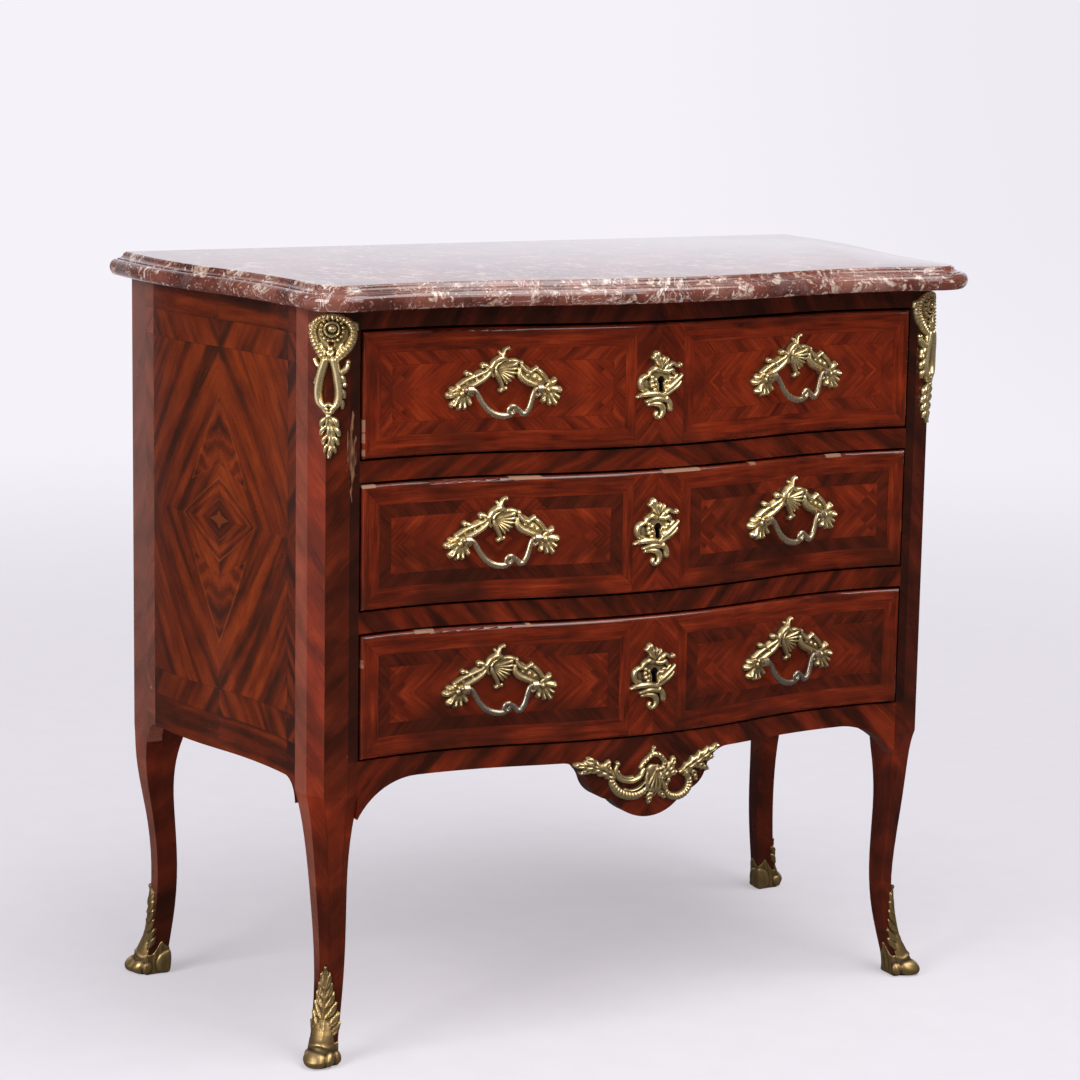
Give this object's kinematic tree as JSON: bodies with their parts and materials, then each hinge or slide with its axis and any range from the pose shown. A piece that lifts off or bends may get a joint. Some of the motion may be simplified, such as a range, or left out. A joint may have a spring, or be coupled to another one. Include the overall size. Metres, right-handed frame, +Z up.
{
  "type": "commode chest",
  "caption": "Serpentine commode chest: drawers with swinging bails and working locks between splayed cabriole legs, under a moulded marble top",
  "frame": {"origin": "on the floor, under the middle of the chest's bounding box", "axes": "X to the right as seen from the front, Y to the back, Z up"},
  "size_m": [0.928, 0.492, 0.85],
  "materials": {
    "marble": "polished red-brown marble with pale veins",
    "veneer": "glossy quartered tulipwood veneer",
    "oak": "plain unvarnished oak",
    "gilt_bronze": "worn gilding over bronze",
    "dark_bronze": "handled bronze, the gilding worn off",
    "steel": "plain dark steel"
  },
  "bodies": {
    "carcass": {"marble_top": "marble", "post_front_left": "veneer", "post_front_right": "veneer", "post_back_left": "veneer", "post_back_right": "veneer", "side_panel_left": "veneer", "side_panel_right": "veneer", "back_panel": "oak", "back_rail_top": "oak", "back_rail_bottom": "oak", "top_rail": "veneer", "divider_rail_upper": "veneer", "divider_rail_lower": "veneer", "apron_rail": "veneer", "dust_panel_upper": "oak", "dust_panel_lower": "oak", "bottom_board": "oak", "runners_upper": "oak", "runners_middle": "oak", "runners_lower": "oak", "kickers": "oak", "corner_mount_left": "gilt_bronze", "corner_mount_right": "gilt_bronze", "sabots_front": "gilt_bronze", "sabots_back": "gilt_bronze", "apron_mount": "gilt_bronze"},
    "upper_drawer": {"upper_drawer_front": "veneer", "upper_drawer_sides": "oak", "upper_drawer_back": "oak", "upper_drawer_bottom": "oak", "upper_lock_case": "steel", "upper_escutcheon": "gilt_bronze", "upper_handle_plates": "gilt_bronze", "upper_handle_posts": "gilt_bronze"},
    "upper_bolt": {"upper_lock_bolt": "steel"},
    "upper_bail_left": {"upper_bail_left": "dark_bronze"},
    "upper_bail_right": {"upper_bail_right": "dark_bronze"},
    "middle_drawer": {"middle_drawer_front": "veneer", "middle_drawer_sides": "oak", "middle_drawer_back": "oak", "middle_drawer_bottom": "oak", "middle_lock_case": "steel", "middle_escutcheon": "gilt_bronze", "middle_handle_plates": "gilt_bronze", "middle_handle_posts": "gilt_bronze"},
    "middle_bolt": {"middle_lock_bolt": "steel"},
    "middle_bail_left": {"middle_bail_left": "dark_bronze"},
    "middle_bail_right": {"middle_bail_right": "dark_bronze"},
    "lower_drawer": {"lower_drawer_front": "veneer", "lower_drawer_sides": "oak", "lower_drawer_back": "oak", "lower_drawer_bottom": "oak", "lower_lock_case": "steel", "lower_escutcheon": "gilt_bronze", "lower_handle_plates": "gilt_bronze", "lower_handle_posts": "gilt_bronze"},
    "lower_bolt": {"lower_lock_bolt": "steel"},
    "lower_bail_left": {"lower_bail_left": "dark_bronze"},
    "lower_bail_right": {"lower_bail_right": "dark_bronze"}
  },
  "joints": [
    {"name": "upper_drawer_slide", "type": "slide", "parent": "carcass", "child": "upper_drawer", "axis": [0, -1, 0], "range_m": [0, 0.3]},
    {"name": "upper_bolt_slide", "type": "slide", "parent": "upper_drawer", "child": "upper_bolt", "axis": [0, 0, 1], "range_m": [0, 0.009]},
    {"name": "upper_bail_left_swing", "type": "hinge", "parent": "upper_drawer", "child": "upper_bail_left", "pos_m": [-0.18549, -0.19865, 0.7335], "axis": [-0.9861, 0.1662, 0], "range_deg": [0, 80]},
    {"name": "upper_bail_right_swing", "type": "hinge", "parent": "upper_drawer", "child": "upper_bail_right", "pos_m": [0.18549, -0.19865, 0.7335], "axis": [-0.9861, -0.1662, 0], "range_deg": [0, 80]},
    {"name": "middle_drawer_slide", "type": "slide", "parent": "carcass", "child": "middle_drawer", "axis": [0, -1, 0], "range_m": [0, 0.3]},
    {"name": "middle_bolt_slide", "type": "slide", "parent": "middle_drawer", "child": "middle_bolt", "axis": [0, 0, 1], "range_m": [0, 0.009]},
    {"name": "middle_bail_left_swing", "type": "hinge", "parent": "middle_drawer", "child": "middle_bail_left", "pos_m": [-0.18549, -0.19865, 0.5715], "axis": [-0.9861, 0.1662, 0], "range_deg": [0, 80]},
    {"name": "middle_bail_right_swing", "type": "hinge", "parent": "middle_drawer", "child": "middle_bail_right", "pos_m": [0.18549, -0.19865, 0.5715], "axis": [-0.9861, -0.1662, 0], "range_deg": [0, 80]},
    {"name": "lower_drawer_slide", "type": "slide", "parent": "carcass", "child": "lower_drawer", "axis": [0, -1, 0], "range_m": [0, 0.3]},
    {"name": "lower_bolt_slide", "type": "slide", "parent": "lower_drawer", "child": "lower_bolt", "axis": [0, 0, 1], "range_m": [0, 0.009]},
    {"name": "lower_bail_left_swing", "type": "hinge", "parent": "lower_drawer", "child": "lower_bail_left", "pos_m": [-0.18549, -0.19865, 0.4095], "axis": [-0.9861, 0.1662, 0], "range_deg": [0, 80]},
    {"name": "lower_bail_right_swing", "type": "hinge", "parent": "lower_drawer", "child": "lower_bail_right", "pos_m": [0.18549, -0.19865, 0.4095], "axis": [-0.9861, -0.1662, 0], "range_deg": [0, 80]}
  ]
}
